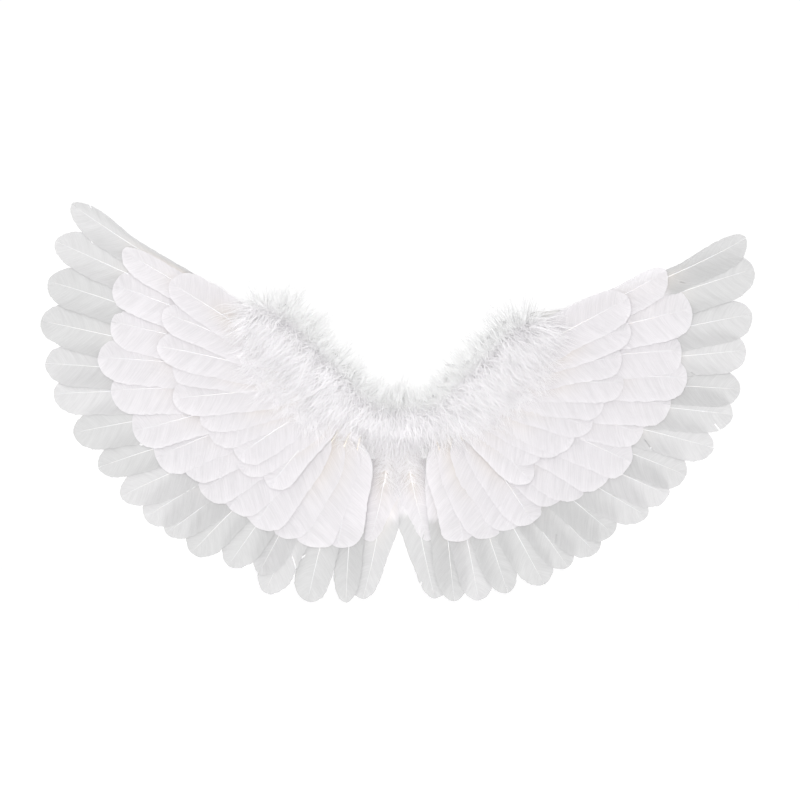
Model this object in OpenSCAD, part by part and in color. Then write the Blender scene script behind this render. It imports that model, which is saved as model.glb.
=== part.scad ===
// Feather costume wings: two fans of shingled feathers on stiff boards, hinged to a narrow spine
// board, with a marabou trim along the neckline and an elastic loop for each shoulder.
// +X is to the right, +Z is up, and +Y points to the wearer. The origin is the middle of the face
// that rests on the wearer's back. Units are millimetres, and all angles are degrees.

/* [Boards] */
// Half of the spine board's width, from the centre line to each fold line
spine_half = 20; // [18:0.5:22]
// Thickness of the three stiff boards
board_t = 3; // [2:0.5:3.5]
// Thickness of the felt on the boards' back
felt_t = 1.2; // [0.8:0.1:1.6]
// Lower edge of the spine board
board_low = -45; // [-50:1:-42]
// Lower end of the fold line between the spine board and each wing board
fold_low = -18; // [-22:1:-14]
// How far the wing boards reach past the quill ends of the outer row
board_reach = 14; // [10:1:18]

/* [Neckline] */
// Lowest point of the neckline curve
neck_z = 19; // [16:1:22]
// Radius of the neckline's round bottom
neck_r = 50; // [46:1:56]
// Slope of the straight arms
arm_angle = 46; // [42:1:50]
// Length of each straight arm
arm_len = 80; // [76:1:84]
// Radius of the shoulder curve that ends each arm
shoulder_r = 50; // [40:1:55]
// Angle that the shoulder curve turns through
shoulder_turn = 36; // [28:1:38]

/* [Feathers] */
// Thickness of a vane
vane_t = 0.4; // [0.3:0.05:0.45]
// How far each feather is rolled, so that it laps over the next one
lap_angle = 8; // [7.5:0.5:9]
// Feathers in the outer row of one wing
outer_n = 17; // [16:1:17]
// Feathers in the middle row of one wing
middle_n = 14; // [13:1:14]
// Feathers in the inner row of one wing
inner_n = 10; // [9:1:10]
// Half of an outer feather's width
outer_half = 16; // [14:0.5:16.5]
// How much higher the left fan is turned, and how much lower the right one
fan_tilt = 2.7; // [0:0.1:3]

/* [Marabou trim] */
// Half of the trim's width across the neckline
fluff_half = 20; // [17:0.5:20.5]
// Half of the trim's thickness
fluff_depth = 11; // [9:0.5:12]
// Radius of the cord that the down is wound on
cord_r = 1.1; // [0.8:0.1:1.2]

/* [Straps] */
// Width of the elastic
strap_w = 12; // [10:1:14]
// Thickness of the elastic
strap_t = 1.2; // [0.8:0.1:1.3]
// Distance of each strap from the centre line
strap_x = 46; // [44:1:48]
// Radius of the strap's bends, at its middle
strap_bend = 7; // [6:0.5:8]
// Height of the strap's lower bend
strap_low = -104; // [-108:1:-90]

/* [Frame wire] */
// Radius of the frame wire
wire_r = 0.8; // [0.6:0.1:0.8]

/* [Hidden] */
$fn = 48;
TRUNK_NODES = [
    "centre_board", "centre_back_felt", "centre_back_patch", "centre_patch_stitches",
    "centre_quill_strip", "centre_outer_feathers", "centre_middle_feathers",
    "centre_marabou", "centre_marabou_cord"
];
SIDE_NODES = [
    "hinge_tape", "wing_board", "back_felt", "frame_wire", "wire_end_cap",
    "outer_quill_strip", "middle_quill_strip", "inner_quill_strip",
    "outer_feathers", "middle_feathers", "inner_feathers", "marabou", "marabou_cord",
    "strap_ends", "strap_patches", "patch_stitches", "shoulder_strap"
];

LEFT = -1;
RIGHT = 1;
OUTER = 0;
MIDDLE = 1;
INNER = 2;

// Layers, from the wearer's side to the feathered side
patch_t = 1.2;
border_t = 0.6;
tape_t = 0.8;
felt_back = -patch_t;
board_back = felt_back - felt_t;
board_front = board_back - board_t;
tape_front = board_front - tape_t;
row_level = [board_front - 5.1, board_front - 10.3, board_front - 15.2];
strip_back = [board_front, board_front - 5.8, board_front - 11];
glue = 0.8;
strip_w = 9;
centre_outer_level = tape_front - 0.4;
centre_middle_level = tape_front - 1.1;
fluff_level = tape_front - 0.3 - fluff_depth;

// Neckline: an arc, a straight arm and a shoulder arc. s is the distance from the centre line.
function deg(rad) = rad * 180 / PI;
function along(a) = [cos(a), sin(a)];
arc_len = neck_r * arm_angle * PI / 180;
neck_len = arc_len + arm_len + shoulder_r * shoulder_turn * PI / 180;
arm_start = [neck_r * sin(arm_angle), neck_z + neck_r * (1 - cos(arm_angle))];
arm_end = arm_start + arm_len * along(arm_angle);
function neck_heading(s) =
    s < arc_len ? deg(s / neck_r)
    : s < arc_len + arm_len ? arm_angle
    : arm_angle - deg((s - arc_len - arm_len) / shoulder_r);
function neck_point(s) =
    let (h = neck_heading(s))
    s < arc_len ? [neck_r * sin(h), neck_z + neck_r * (1 - cos(h))]
    : s < arc_len + arm_len ? arm_start + (s - arc_len) * along(arm_angle)
    : arm_end + shoulder_r * (along(h + 90) - along(arm_angle + 90));
function neck_offset(s, d) = neck_point(s) + d * along(neck_heading(s) + 90);

// Fold lines
fold_gap = 0.3;
wing_edge = spine_half + fold_gap;
board_rise = 3;
function fold_s(x) = neck_r * asin(x / (neck_r - board_rise)) * PI / 180;

// Feather fans, drawn for the right wing. Tips lie at a reach that depends on the angle round a
// pivot, and the two wings differ a little, as hand-laid feathers do.
pivot = [60, 60];
left_reach = [
    [-100, 197], [-78, 201], [-62, 192], [-42, 197], [-22, 214], [-10, 229], [5, 245], [21, 252],
    [33, 258]
];
right_reach = [
    [-98, 198], [-78, 193], [-54, 189], [-43, 193], [-22, 212], [-6, 228], [10, 243], [27, 253]
];
row_n = [outer_n, middle_n, inner_n];
row_top = [29.5, 28.5, 26];
row_end = [-94, -93, -62];
row_half = [outer_half, outer_half - 0.5, outer_half - 2];
row_seed = [11, 23, 37];
lead_half = [0.6, 0.8, 1];
inset = [
    [[-95, 0], [30, 0]],
    [[-60, 48], [0, 51], [30, 57]],
    [[-62, 84], [-20, 98], [25, 106]]
];
// Where the quills end, from the wing's top to its fold line
quill_line = [
    [[137, 113], [142, 67], [119, 35], [83, 17.5], [64, 13], [47, 10.5], [30.5, 8.5]],
    [[127, 100], [130, 67], [112, 40], [84, 26], [64, 20], [48, 14], [31, 5]],
    [[108, 76], [106, 54], [87, 39], [70, 31], [56, 22]]
];
function share(row, i) = i / (row_n[row] - 1);
function tilt(row, side, i) = -side * fan_tilt * (1 - share(row, i));
function turn(p, a) = [p.x * cos(a) - p.y * sin(a), p.x * sin(a) + p.y * cos(a)];
function on_line(line, t) =
    let (u = t * (len(line) - 1), k = min(floor(u), len(line) - 2))
    line[k] + (u - k) * (line[k + 1] - line[k]);
function quill_end(row, side, i) =
    pivot + turn(on_line(quill_line[row], share(row, i)) - pivot, tilt(row, side, i));
function jitter(row, side, i, size) =
    rands(-size, size, row_n[row] + 1, row_seed[row] + 5 * side + size)[i];
// The feather next to the fold line hangs straight
function feather_tip(row, side, i) =
    let (calm = i == row_n[row] - 1 ? 0 : 1)
    let (a = row_top[row] + share(row, i) * (row_end[row] - row_top[row])
        + tilt(row, side, i) + calm * jitter(row, side, i, 1.2))
    let (r = lookup(a, side == LEFT ? left_reach : right_reach) - lookup(a, inset[row])
        + calm * jitter(row, side, i, 3))
    pivot + r * along(a);
function half_width(row, i) =
    row_half[row] * (i == 0 ? lead_half[row] : i == row_n[row] - 1 ? 0.88 : 1);

// Half of a vane's width at a share u of its length: it swells to widest, then rounds to the tip
widest = 0.62;
quill_half = 1.4;
function vane_half(u, half) =
    u < widest
    ? max(quill_half, half * (1 - pow((widest - u) / widest, 1.5)))
    : half * sqrt(max(0, 1 - pow((u - widest) / (1 - widest), 2)));
vane_steps = [0, 0.06, 0.14, 0.26, 0.42, 0.62, 0.76, 0.87, 0.94, 0.98];
function vane_outline(len, half) = concat(
    [for (u = vane_steps) [u * len, -vane_half(u, half)]],
    [[len, 0]],
    [for (i = [len(vane_steps) - 1 : -1 : 0])
        [vane_steps[i] * len, vane_half(vane_steps[i], half)]]
);

// Frame wire, in the XZ plane, for the right wing. Its free end runs behind the leading feather.
wire_level = board_back - 0.9;
wire_start = [[34, -14], [52, 14], [84, 50], [112, 78]];
wire_drop = 4;
wire_reach = 76;
function wire_path(side) =
    let (q = quill_end(OUTER, side, 0), d = feather_tip(OUTER, side, 0) - q, a = atan2(d.y, d.x))
    concat(wire_start, [for (k = [0, wire_reach / 2, wire_reach])
        q + k * along(a) - wire_drop * along(a + 90)]);
groove_gap = 0.2;
groove_depth = board_back - wire_level + wire_r + groove_gap;
cap_len = 9;
cap_wall = 0.7;

// Straps, in the YZ plane
strap_back = felt_back + strap_t / 2;
strap_top = 57;
strap_free_top = 56;
strap_free_low = -41.5;
top_patch_z = 30;
low_patch_z = -26;
strap_patch_w = 16;
strap_patch_t = 1.2;

// Stitches
thread_r = 0.25;
stitch_len = 3;
stitch_pitch = 5;

function flip(list) = [for (i = [len(list) - 1 : -1 : 0]) list[i]];

// The outline of a band that runs along a path
function band(path, half) =
    let (n = len(path))
    let (out = [for (i = [0 : n - 1])
        let (d = path[min(i + 1, n - 1)] - path[max(i - 1, 0)]) along(atan2(d.y, d.x) + 90)])
    concat([for (i = [0 : n - 1]) path[i] + half * out[i]],
        [for (i = [n - 1 : -1 : 0]) path[i] - half * out[i]]);

// A plate cut to an outline in the XZ plane, from y = back towards the feathers
module plate(back, thick) {
    translate([0, back, 0]) rotate([90, 0, 0]) linear_extrude(thick) children();
}

// The part as drawn for the right, or its mirror image for the left
module sided(side) {
    mirror([side == LEFT ? 1 : 0, 0, 0]) children();
}

// A tube along a path in the XZ plane at y = level. Its rings are ellipses, scaled by swell, and a
// bore can run through it. Each ring is square to the path, or to its own heading if those are given.
module planar_tube(path, level, across, deep, sides, headings = [], swell = [], bore = 0) {
    n = len(path);
    function heading(i) =
        let (d = path[min(i + 1, n - 1)] - path[max(i - 1, 0)])
        len(headings) ? headings[i] : atan2(d.y, d.x);
    function ring(i, wide, thick) =
        let (out = along(heading(i) + 90))
        [for (j = [0 : sides - 1])
            let (q = path[i] + wide * cos(360 * j / sides) * out)
            [q.x, level + thick * sin(360 * j / sides), q.y]];
    function size(i) = len(swell) ? swell[i] : 1;
    outer = [for (i = [0 : n - 1]) each ring(i, size(i) * across, size(i) * deep)];
    inner = bore ? [for (i = [0 : n - 1]) each ring(i, bore, bore)] : [];
    function quad(a, b, c, d) = [[a, b, c], [a, c, d]];
    walls = [for (i = [0 : n - 2]) for (j = [0 : sides - 1])
        let (k = (j + 1) % sides, p = i * sides, q = p + sides, m = n * sides)
        each concat(quad(p + j, q + j, q + k, p + k),
            bore ? quad(m + p + k, m + q + k, m + q + j, m + p + j) : [])];
    ends = bore
        ? [for (j = [0 : sides - 1])
            let (k = (j + 1) % sides, m = n * sides, e = (n - 1) * sides)
            each concat(quad(j, k, m + k, m + j), quad(m + e + j, m + e + k, e + k, e + j))]
        : [[for (j = [0 : sides - 1]) j], [for (j = [sides - 1 : -1 : 0]) (n - 1) * sides + j]];
    polyhedron(concat(outer, inner), concat(walls, ends), convexity = 6);
}

module rounded_rect(w, h, r) {
    square([w - 2 * r, h], center = true);
    square([w, h - 2 * r], center = true);
    for (x = [-1, 1], z = [-1, 1])
        translate([x * (w / 2 - r), z * (h / 2 - r)]) circle(r);
}

// A feather whose quill end and tip are given in the XZ plane, at depth y = level
module feather(quill, tip, half, level, roll) {
    d = tip - quill;
    translate([quill.x, level, quill.y])
        rotate([0, -atan2(d.y, d.x), 0]) rotate([90 - roll, 0, 0])
            translate([0, 0, -vane_t / 2]) linear_extrude(vane_t)
                polygon(vane_outline(norm(d), half));
}

// ---- Spine ----

function spine_outline() = concat(
    [for (k = [-4 : 4])
        let (h = k / 4 * asin(spine_half / (neck_r - board_rise)))
        [(neck_r - board_rise) * sin(h), neck_z + neck_r - (neck_r - board_rise) * cos(h)]],
    [[spine_half, board_low], [-spine_half, board_low]]
);

module centre_board() {
    color("burlywood") plate(board_back, board_t) polygon(spine_outline());
}

module centre_back_felt() {
    color("white") plate(felt_back, felt_t) polygon(spine_outline());
}

back_patch_w = 34;
back_patch_h = 50;
back_patch_z = -14;
back_patch_r = 5;
patch_border = 4;

// A pad with a thinner border, which is sewn down
module centre_back_patch() {
    color("white") translate([0, 0, back_patch_z]) {
        plate(0, patch_t)
            rounded_rect(back_patch_w - 2 * patch_border, back_patch_h - 2 * patch_border,
                back_patch_r - 1);
        plate(border_t - patch_t, border_t)
            rounded_rect(back_patch_w, back_patch_h, back_patch_r);
    }
}

// Running stitches in a row from a to b, lying just off the face y = level towards the wearer
module stitch_row(a, b, level) {
    d = b - a;
    count = floor(norm(d) / stitch_pitch);
    for (i = [0 : count - 1]) {
        p = a + d * (i + 0.5) / count;
        translate([p.x, level - thread_r, p.y])
            rotate([0, 90 - atan2(d.y, d.x), 0])
                cylinder(r = thread_r, h = stitch_len, center = true);
    }
}

module stitch_box(centre, w, h, level) {
    corners = [[-w, -h], [w, -h], [w, h], [-w, h]] / 2;
    for (i = [0 : 3])
        stitch_row(centre + corners[i], centre + corners[(i + 1) % 4], level);
}

module centre_patch_stitches() {
    color("gainsboro")
        stitch_box([0, back_patch_z], back_patch_w - patch_border, back_patch_h - patch_border,
            border_t - patch_t + 2 * thread_r);
}

centre_base = [6, 7];
centre_tip = [29, -135];
centre_middle_base = [6, 8];
centre_middle_tip = [24, -86];
centre_half = outer_half - 1;
centre_middle_half = outer_half - 3;

module centre_quill_strip() {
    color("white") translate([0, 0, centre_base.y - strip_w / 2])
        plate(board_front, tape_t)
            square([4 * centre_base.x, strip_w], center = true);
}

module centre_outer_feathers() {
    color("snow") for (side = [LEFT, RIGHT]) sided(side)
        feather(centre_base, centre_tip, centre_half, centre_outer_level, 0);
}

module centre_middle_feathers() {
    color("snow") for (side = [LEFT, RIGHT]) sided(side)
        feather(centre_middle_base, centre_middle_tip, centre_middle_half, centre_middle_level, 0);
}

// ---- Marabou trim ----

trim_gap = 0.3;
trim_rise = 2;
spine_s = fold_s(spine_half);
centre_steps = 8;
arm_steps = 15;
centre_s = [for (k = [-centre_steps : centre_steps]) k / centre_steps * (spine_s - trim_gap / 2)];
centre_path = [for (s = centre_s)
    let (p = neck_offset(abs(s), trim_rise)) [sign(s) * p.x, p.y]];
centre_headings = [for (s = centre_s) sign(s) * neck_heading(abs(s))];
wing_s = [for (k = [0 : arm_steps])
    spine_s + trim_gap / 2 + k / arm_steps * (neck_len - spine_s)];
wing_path = [for (s = wing_s) neck_offset(s, trim_rise)];
wing_headings = [for (s = wing_s) neck_heading(s)];
// The trim's free end closes in a round puff
function puff(t) = sqrt(max(0.03, 1 - pow(max(0, t - 0.8) / 0.2, 2)));

cord_gap = 0.4;

module centre_marabou() {
    color("white")
        planar_tube(centre_path, fluff_level, fluff_half, fluff_depth, 16, centre_headings,
            bore = cord_r + cord_gap);
}

module centre_marabou_cord() {
    color("white") planar_tube(centre_path, fluff_level, cord_r, cord_r, 8, centre_headings);
}

module marabou(side) {
    color("white") sided(side)
        planar_tube(wing_path, fluff_level, fluff_half, fluff_depth, 16, wing_headings,
            [for (k = [0 : arm_steps]) puff(k / arm_steps)], cord_r + cord_gap);
}

module marabou_cord(side) {
    color("white") sided(side)
        planar_tube(wing_path, fluff_level, cord_r, cord_r, 8, wing_headings);
}

// ---- Wings ----

hinge_tape_w = 14;
hinge_tape_top = 22;

// The fabric hinge, on the boards' front
module hinge_tape(side) {
    h = hinge_tape_top - fold_low - 2;
    color("white") sided(side) translate([spine_half + fold_gap / 2, 0, hinge_tape_top - h / 2])
        plate(board_front, tape_t) square([hinge_tape_w, h], center = true);
}

board_outer_count = 10;
board_heel = [[64, -34], [56, -38], [36, -38], [wing_edge, fold_low]];
board_top_steps = 12;
function wing_outline(side) = concat(
    [for (k = [0 : board_top_steps])
        let (from = fold_s(wing_edge))
        neck_offset(from + k / board_top_steps * (neck_len - from), board_rise)],
    [for (i = [0 : board_outer_count - 1])
        let (q = quill_end(OUTER, side, i), d = feather_tip(OUTER, side, i) - q)
        q + board_reach * min(1, (i + 1) / 4) * d / norm(d)],
    board_heel
);

module wing_board(side) {
    color("burlywood") sided(side) difference() {
        plate(board_back, board_t) polygon(wing_outline(side));
        plate(board_back + 1, 1 + groove_depth)
            polygon(band(wire_path(side), wire_r + groove_gap));
    }
}

module back_felt(side) {
    color("white") sided(side) plate(felt_back, felt_t) polygon(wing_outline(side));
}

module frame_wire(side) {
    color("silver") sided(side) planar_tube(wire_path(side), wire_level, wire_r, wire_r, 10);
}

// A soft cap over the wire's cut end
module wire_end_cap(side) {
    path = wire_path(side);
    n = len(path);
    d = path[n - 1] - path[n - 2];
    bore_r = wire_r + 0.05;
    color("white") sided(side)
        translate([path[n - 1].x, wire_level, path[n - 1].y])
            rotate([0, 90 - atan2(d.y, d.x), 0]) translate([0, 0, 0.3 - cap_len]) difference() {
                cylinder(r = bore_r + cap_wall, h = cap_len + cap_wall);
                translate([0, 0, -1]) cylinder(r = bore_r, h = cap_len + 1);
            }
}

// The strip under a row's quills, which brings the row to its level
module quill_strip(side, row) {
    mids = [for (i = [0 : row_n[row] - 1])
        let (q = quill_end(row, side, i), d = feather_tip(row, side, i) - q)
        q + (strip_w - 1) / 2 * d / norm(d)];
    front = row_level[row] + glue + vane_t / 2;
    color("white") sided(side)
        plate(strip_back[row], strip_back[row] - front) polygon(band(mids, strip_w / 2));
}

module feather_row(side, row) {
    color("snow") sided(side) for (i = [0 : row_n[row] - 1])
        feather(quill_end(row, side, i), feather_tip(row, side, i), half_width(row, i),
            row_level[row], lap_angle);
}

// ---- Straps ----

function strap_edge(r) = concat(
    [[strap_bend - r, strap_free_top]],
    [for (k = [0 : 10]) [strap_bend - r * cos(18 * k), strap_top + r * sin(18 * k)]],
    [for (k = [0 : 10]) [strap_bend + r * cos(18 * k), strap_low - r * sin(18 * k)]],
    [[strap_bend - r, strap_free_low]]
);

// The free loop, which hangs from the wing board's top edge and comes back up to its lower edge
module shoulder_strap(side) {
    color("white") sided(side) translate([strap_x, strap_back, 0]) rotate([90, 0, 90])
        linear_extrude(strap_w, center = true) polygon(concat(
            strap_edge(strap_bend + strap_t / 2), flip(strap_edge(strap_bend - strap_t / 2))));
}

end_gap = 0.3;
end_tuck = 10;

// The two sewn ends of the strap, flat on the felt
module strap_ends(side) {
    top = strap_free_top - end_gap;
    low = strap_free_low + end_gap;
    color("white") sided(side) {
        for (z = [[top_patch_z - end_tuck, top], [low, low_patch_z + end_tuck]])
            translate([strap_x - strap_w / 2, felt_back, z[0]])
                cube([strap_w, strap_t, z[1] - z[0]]);
    }
}

module strap_patches(side) {
    front = felt_back + strap_t;
    color("white") sided(side) for (z = [top_patch_z, low_patch_z])
        translate([strap_x, 0, z]) plate(front + strap_patch_t, strap_patch_t)
            rounded_rect(strap_patch_w, strap_patch_w, 2);
}

// A box of stitches on each strap patch
module patch_stitches(side) {
    face = felt_back + strap_t + strap_patch_t + 2 * thread_r;
    color("gainsboro") sided(side) for (z = [top_patch_z, low_patch_z])
        stitch_box([strap_x, z], strap_patch_w - 4, strap_patch_w - 4, face);
}

centre_board();
centre_back_felt();
centre_back_patch();
centre_patch_stitches();
centre_quill_strip();
centre_outer_feathers();
centre_middle_feathers();
centre_marabou();
centre_marabou_cord();
hinge_tape(LEFT);  // left_hinge_tape
wing_board(LEFT);  // left_wing_board
back_felt(LEFT);  // left_back_felt
frame_wire(LEFT);  // left_frame_wire
wire_end_cap(LEFT);  // left_wire_end_cap
quill_strip(LEFT, OUTER);  // left_outer_quill_strip
quill_strip(LEFT, MIDDLE);  // left_middle_quill_strip
quill_strip(LEFT, INNER);  // left_inner_quill_strip
feather_row(LEFT, OUTER);  // left_outer_feathers
feather_row(LEFT, MIDDLE);  // left_middle_feathers
feather_row(LEFT, INNER);  // left_inner_feathers
marabou(LEFT);  // left_marabou
marabou_cord(LEFT);  // left_marabou_cord
strap_ends(LEFT);  // left_strap_ends
strap_patches(LEFT);  // left_strap_patches
patch_stitches(LEFT);  // left_patch_stitches
shoulder_strap(LEFT);  // left_shoulder_strap
hinge_tape(RIGHT);  // right_hinge_tape
wing_board(RIGHT);  // right_wing_board
back_felt(RIGHT);  // right_back_felt
frame_wire(RIGHT);  // right_frame_wire
wire_end_cap(RIGHT);  // right_wire_end_cap
quill_strip(RIGHT, OUTER);  // right_outer_quill_strip
quill_strip(RIGHT, MIDDLE);  // right_middle_quill_strip
quill_strip(RIGHT, INNER);  // right_inner_quill_strip
feather_row(RIGHT, OUTER);  // right_outer_feathers
feather_row(RIGHT, MIDDLE);  // right_middle_feathers
feather_row(RIGHT, INNER);  // right_inner_feathers
marabou(RIGHT);  // right_marabou
marabou_cord(RIGHT);  // right_marabou_cord
strap_ends(RIGHT);  // right_strap_ends
strap_patches(RIGHT);  // right_strap_patches
patch_stitches(RIGHT);  // right_patch_stitches
shoulder_strap(RIGHT);  // right_shoulder_strap
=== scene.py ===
"""White feather costume wings: feathers, marabou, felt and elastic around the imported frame."""

import math

import bpy
import numpy as np
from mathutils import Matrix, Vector, geometry


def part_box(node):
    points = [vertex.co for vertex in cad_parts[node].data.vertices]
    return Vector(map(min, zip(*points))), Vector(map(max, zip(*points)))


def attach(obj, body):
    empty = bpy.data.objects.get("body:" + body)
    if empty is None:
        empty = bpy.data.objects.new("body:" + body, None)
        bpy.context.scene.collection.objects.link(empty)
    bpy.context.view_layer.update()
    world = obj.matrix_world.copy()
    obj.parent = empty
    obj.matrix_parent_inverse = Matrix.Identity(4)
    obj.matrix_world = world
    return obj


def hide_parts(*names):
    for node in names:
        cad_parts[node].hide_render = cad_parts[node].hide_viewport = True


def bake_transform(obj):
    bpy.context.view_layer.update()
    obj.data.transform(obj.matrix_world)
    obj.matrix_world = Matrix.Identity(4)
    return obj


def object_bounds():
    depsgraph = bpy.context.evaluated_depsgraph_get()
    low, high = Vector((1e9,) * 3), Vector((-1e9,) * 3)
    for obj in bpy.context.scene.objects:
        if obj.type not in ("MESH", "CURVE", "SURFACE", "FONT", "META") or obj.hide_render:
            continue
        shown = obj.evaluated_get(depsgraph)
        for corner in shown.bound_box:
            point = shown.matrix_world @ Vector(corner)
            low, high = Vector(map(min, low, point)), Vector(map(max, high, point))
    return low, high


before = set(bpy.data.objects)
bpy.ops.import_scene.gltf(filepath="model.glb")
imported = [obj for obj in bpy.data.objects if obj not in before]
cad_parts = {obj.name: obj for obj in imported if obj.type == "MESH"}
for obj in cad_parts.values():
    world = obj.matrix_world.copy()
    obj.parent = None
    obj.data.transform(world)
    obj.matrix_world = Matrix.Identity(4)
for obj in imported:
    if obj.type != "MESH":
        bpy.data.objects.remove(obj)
cad_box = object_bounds()
MM = 0.001
SIDES = {"left": -1, "right": 1}


# ---- Camera, lights and stage ----

def make_camera():
    """Looks along +y from far off, so that the frame spans frame_width at the wings."""
    data = bpy.data.cameras.new("camera")
    data.sensor_width = 36
    distance, frame_width = 3.2, 0.68
    data.lens = data.sensor_width * distance / frame_width
    data.clip_end = 100
    camera = bpy.data.objects.new("camera", data)
    camera.location = (0.002, -distance, 0.034)
    camera.rotation_euler = (math.radians(90), 0, 0)
    bpy.context.collection.objects.link(camera)
    bpy.context.scene.camera = camera


def area_light(name, place, target, size, watts):
    """A round soft light at place, turned to target."""
    data = bpy.data.lights.new(name, "AREA")
    data.shape, data.size, data.energy = "DISK", size, watts
    light = bpy.data.objects.new(name, data)
    light.location = place
    light.rotation_euler = (Vector(target) - Vector(place)).to_track_quat("-Z", "Y").to_euler()
    bpy.context.collection.objects.link(light)


def make_world():
    """White behind the wings, and a softer white that lights them."""
    world = bpy.data.worlds.new("studio")
    bpy.context.scene.world = world
    world.use_nodes = True
    tree = world.node_tree
    tree.nodes.clear()
    out = tree.nodes.new("ShaderNodeOutputWorld")
    mix = tree.nodes.new("ShaderNodeMixShader")
    path = tree.nodes.new("ShaderNodeLightPath")
    seen = tree.nodes.new("ShaderNodeBackground")
    lit = tree.nodes.new("ShaderNodeBackground")
    seen.inputs["Color"].default_value = (1, 1, 1, 1)
    seen.inputs["Strength"].default_value = 1.05
    lit.inputs["Color"].default_value = (1, 0.995, 1, 1)
    lit.inputs["Strength"].default_value = 0.62
    tree.links.new(path.outputs["Is Camera Ray"], mix.inputs["Fac"])
    tree.links.new(lit.outputs[0], mix.inputs[1])
    tree.links.new(seen.outputs[0], mix.inputs[2])
    tree.links.new(mix.outputs[0], out.inputs["Surface"])


def make_floor():
    """A wide pale floor, well below the wings."""
    mesh = bpy.data.meshes.new("floor")
    z, reach = cad_box[0].z - 0.5, 12
    corners = [(x * reach, y * reach, z) for x, y in ((-1, -1), (1, -1), (1, 1), (-1, 1))]
    mesh.from_pydata(corners, [], [(0, 1, 2, 3)])
    floor = bpy.data.objects.new("floor", mesh)
    bpy.context.collection.objects.link(floor)
    material = bpy.data.materials.new("floor")
    material.use_nodes = True
    shader = material.node_tree.nodes["Principled BSDF"]
    shader.inputs["Base Color"].default_value = (0.9, 0.9, 0.9, 1)
    shader.inputs["Roughness"].default_value = 0.9
    shader.inputs["Emission Color"].default_value = (1, 1, 1, 1)
    shader.inputs["Emission Strength"].default_value = 0.45
    mesh.materials.append(material)


bpy.context.scene.view_settings.view_transform = "Standard"
bpy.context.scene.view_settings.look = "None"
make_camera()
make_world()
make_floor()
area_light("key", (-0.1, -3.1, 0.4), (0, 0, 0.03), 2.0, 65)
area_light("side", (-1.6, -1.2, 1.6), (0, 0, 0), 1.0, 9)
area_light("back", (0.6, 2.4, 1.6), (0, 0, 0), 1.6, 12)


# ---- Materials ----

class Shader:
    """A material under construction: its tree, its main shader and short ways to add nodes."""

    def __init__(self, name):
        self.material = bpy.data.materials.new(name)
        self.material.use_nodes = True
        self.tree = self.material.node_tree
        self.main = self.tree.nodes["Principled BSDF"]
        self.out = self.tree.nodes["Material Output"]

    def node(self, kind, inputs=None, **settings):
        made = self.tree.nodes.new("ShaderNode" + kind)
        for key, value in settings.items():
            setattr(made, key, value)
        for key, value in (inputs or {}).items():
            if isinstance(value, bpy.types.NodeSocket):
                self.tree.links.new(value, made.inputs[key])
            else:
                made.inputs[key].default_value = value
        return made

    def set(self, **inputs):
        for key, value in inputs.items():
            socket = self.main.inputs[key.replace("_", " ")]
            if isinstance(value, bpy.types.NodeSocket):
                self.tree.links.new(value, socket)
            else:
                socket.default_value = value

    def ramp(self, factor, stops):
        made = self.node("ValToRGB", {"Fac": factor})
        ramp = made.color_ramp
        ramp.elements[0].position, ramp.elements[0].color = stops[0][0], (*stops[0][1], 1)
        ramp.elements[1].position, ramp.elements[1].color = stops[-1][0], (*stops[-1][1], 1)
        for place, colour in stops[1:-1]:
            ramp.elements.new(place).color = (*colour, 1)
        return made.outputs["Color"]

    def mix(self, factor, a, b, blend="MIX"):
        made = self.node("Mix", {"Factor": factor}, data_type="RGBA", blend_type=blend)
        for index, value in ((6, a), (7, b)):
            if isinstance(value, bpy.types.NodeSocket):
                self.tree.links.new(value, made.inputs[index])
            else:
                made.inputs[index].default_value = (*value, 1)
        return made.outputs[2]

    def noise(self, vector, scale, detail=3, rough=0.55):
        return self.node("TexNoise", {"Vector": vector, "Scale": scale, "Detail": detail,
                                      "Roughness": rough}).outputs["Fac"]

    def wave(self, vector, scale, distortion, direction="X", detail=2.0):
        return self.node("TexWave", {"Vector": vector, "Scale": scale, "Distortion": distortion,
                                     "Detail": detail}, bands_direction=direction).outputs["Fac"]

    def stretched(self, vector, scale):
        return self.node("Mapping", {"Vector": vector, "Scale": scale}).outputs["Vector"]

    def bump(self, height, strength, distance):
        made = self.node("Bump", {"Height": height, "Strength": strength, "Distance": distance})
        self.set(Normal=made.outputs["Normal"])

    def let_light_through(self, share, colour):
        """Mixes in a translucent shader, for thin vanes and down."""
        thin = self.node("BsdfTranslucent", {"Color": colour})
        mixed = self.node("MixShader", {"Fac": share, 1: self.main.outputs[0], 2: thin.outputs[0]})
        self.tree.links.new(mixed.outputs[0], self.out.inputs["Surface"])


def grey(value, warm=0.0):
    """A grey, or with warm above 0 a slightly yellow one."""
    return (value, value * (1 - 0.25 * warm), value * (1 - warm))


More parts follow.
